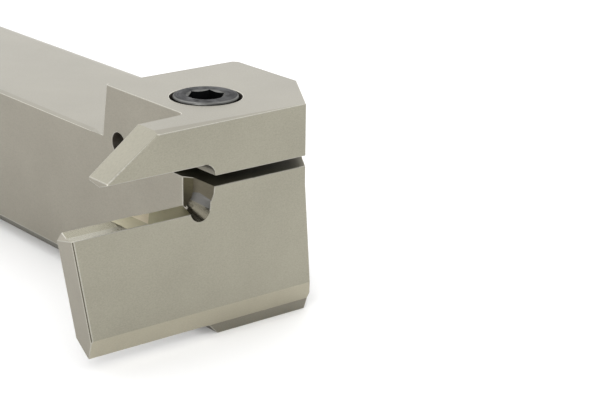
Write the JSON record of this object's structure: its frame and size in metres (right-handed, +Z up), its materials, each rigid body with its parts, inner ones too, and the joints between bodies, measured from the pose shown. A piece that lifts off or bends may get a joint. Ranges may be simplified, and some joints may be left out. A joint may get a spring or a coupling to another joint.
{
  "type": "turning tool holder",
  "caption": "Grooving tool holder for a lathe: a square steel shank whose head has a slit, a flexing clamp jaw over a support blade, and a socket cap screw that closes the jaw.",
  "frame": {"origin": "on the shank's underside, mid width, below the foot of the head's rear shoulder", "axes": "+X along the shank towards the head, +Z up, and the support blade and the arm stand out towards -Y"},
  "size_m": [0.15, 0.0479, 0.0336],
  "materials": {
    "body_steel": "satin, warm nickel tone",
    "screw_steel": "black oxide, semi-gloss, worn on the rim"
  },
  "bodies": {
    "holder": {"holder_body": "body_steel"},
    "screw": {"clamp_screw": "screw_steel"}
  },
  "joints": [
    {"name": "clamp_screw_turn", "type": "hinge", "parent": "holder", "child": "screw", "pos_m": [0.0164, -0.0042, 0.0336], "axis": [0, 0, 1], "range_deg": [0, 450]}
  ]
}
